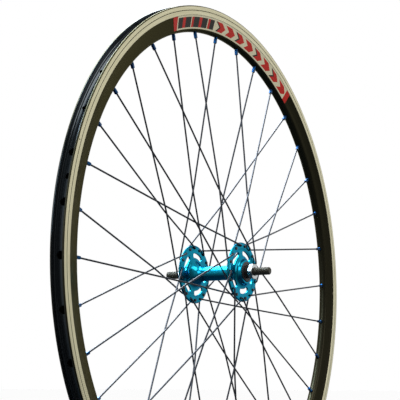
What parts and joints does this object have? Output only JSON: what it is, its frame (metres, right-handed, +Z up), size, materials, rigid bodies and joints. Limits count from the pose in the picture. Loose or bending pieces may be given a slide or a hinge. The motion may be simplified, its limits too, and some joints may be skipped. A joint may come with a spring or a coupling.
{
  "type": "bicycle front track wheel",
  "caption": "Bicycle front wheel: deep black aluminium rim with machined brake tracks, laced with black spokes to a blue anodised large-flange hub on a solid nutted axle, without a tyre.",
  "frame": {"origin": "middle of the axle, on the rim's centre plane", "axes": "+Y along the axle to the wheel's left side, +Z up; the valve hole lies 165 degrees from +X towards +Z"},
  "size_m": [0.6339, 0.14, 0.634],
  "materials": {
    "black_steel": "satin",
    "plated_steel": "satin",
    "bearing_steel": "polished",
    "cage_nylon": "matte",
    "seal_rubber": "matte",
    "cap_plastic": "satin",
    "hub_alloy": "gloss",
    "spoke_steel": "satin",
    "nipple_alloy": "gloss",
    "rim_alloy": "satin",
    "sleeve_alloy": "satin",
    "decal_vinyl": "gloss"
  },
  "bodies": {
    "axle_set": {"axle": "black_steel", "right_locknut": "plated_steel", "right_locknut_washer": "black_steel", "right_bearing_spacer": "black_steel", "right_bearing_inner_race": "bearing_steel", "left_locknut": "plated_steel", "left_locknut_washer": "black_steel", "left_bearing_spacer": "black_steel", "left_bearing_inner_race": "bearing_steel"},
    "wheel": {"hub_shell": "hub_alloy", "rim": "rim_alloy", "rim_joint_sleeve": "sleeve_alloy", "right_bearing_outer_race": "bearing_steel", "right_outer_seal": "seal_rubber", "right_inner_seal": "seal_rubber", "right_dust_cap": "cap_plastic", "right_outside_spokes": "spoke_steel", "right_inside_spokes": "spoke_steel", "right_nipples": "nipple_alloy", "right_rim_decal": "decal_vinyl", "left_bearing_outer_race": "bearing_steel", "left_outer_seal": "seal_rubber", "left_inner_seal": "seal_rubber", "left_dust_cap": "cap_plastic", "left_outside_spokes": "spoke_steel", "left_inside_spokes": "spoke_steel", "left_nipples": "nipple_alloy", "left_rim_decal": "decal_vinyl"},
    "right_ball_set": {"right_bearing_balls": "bearing_steel", "right_bearing_cage": "cage_nylon"},
    "left_ball_set": {"left_bearing_balls": "bearing_steel", "left_bearing_cage": "cage_nylon"}
  },
  "joints": [
    {"name": "wheel_spin", "type": "hinge", "parent": "axle_set", "child": "wheel", "pos_m": [0, 0, 0], "axis": [0, 1, 0], "continuous": true},
    {"name": "right_cage_spin", "type": "hinge", "parent": "axle_set", "child": "right_ball_set", "pos_m": [0, -0.0356, 0], "axis": [0, 1, 0], "continuous": true},
    {"name": "left_cage_spin", "type": "hinge", "parent": "axle_set", "child": "left_ball_set", "pos_m": [0, 0.0356, 0], "axis": [0, 1, 0], "continuous": true}
  ],
  "couplings": [
    {"joint": "right_cage_spin", "follows": "wheel_spin", "ratio": 0.5957},
    {"joint": "left_cage_spin", "follows": "wheel_spin", "ratio": 0.5957}
  ]
}
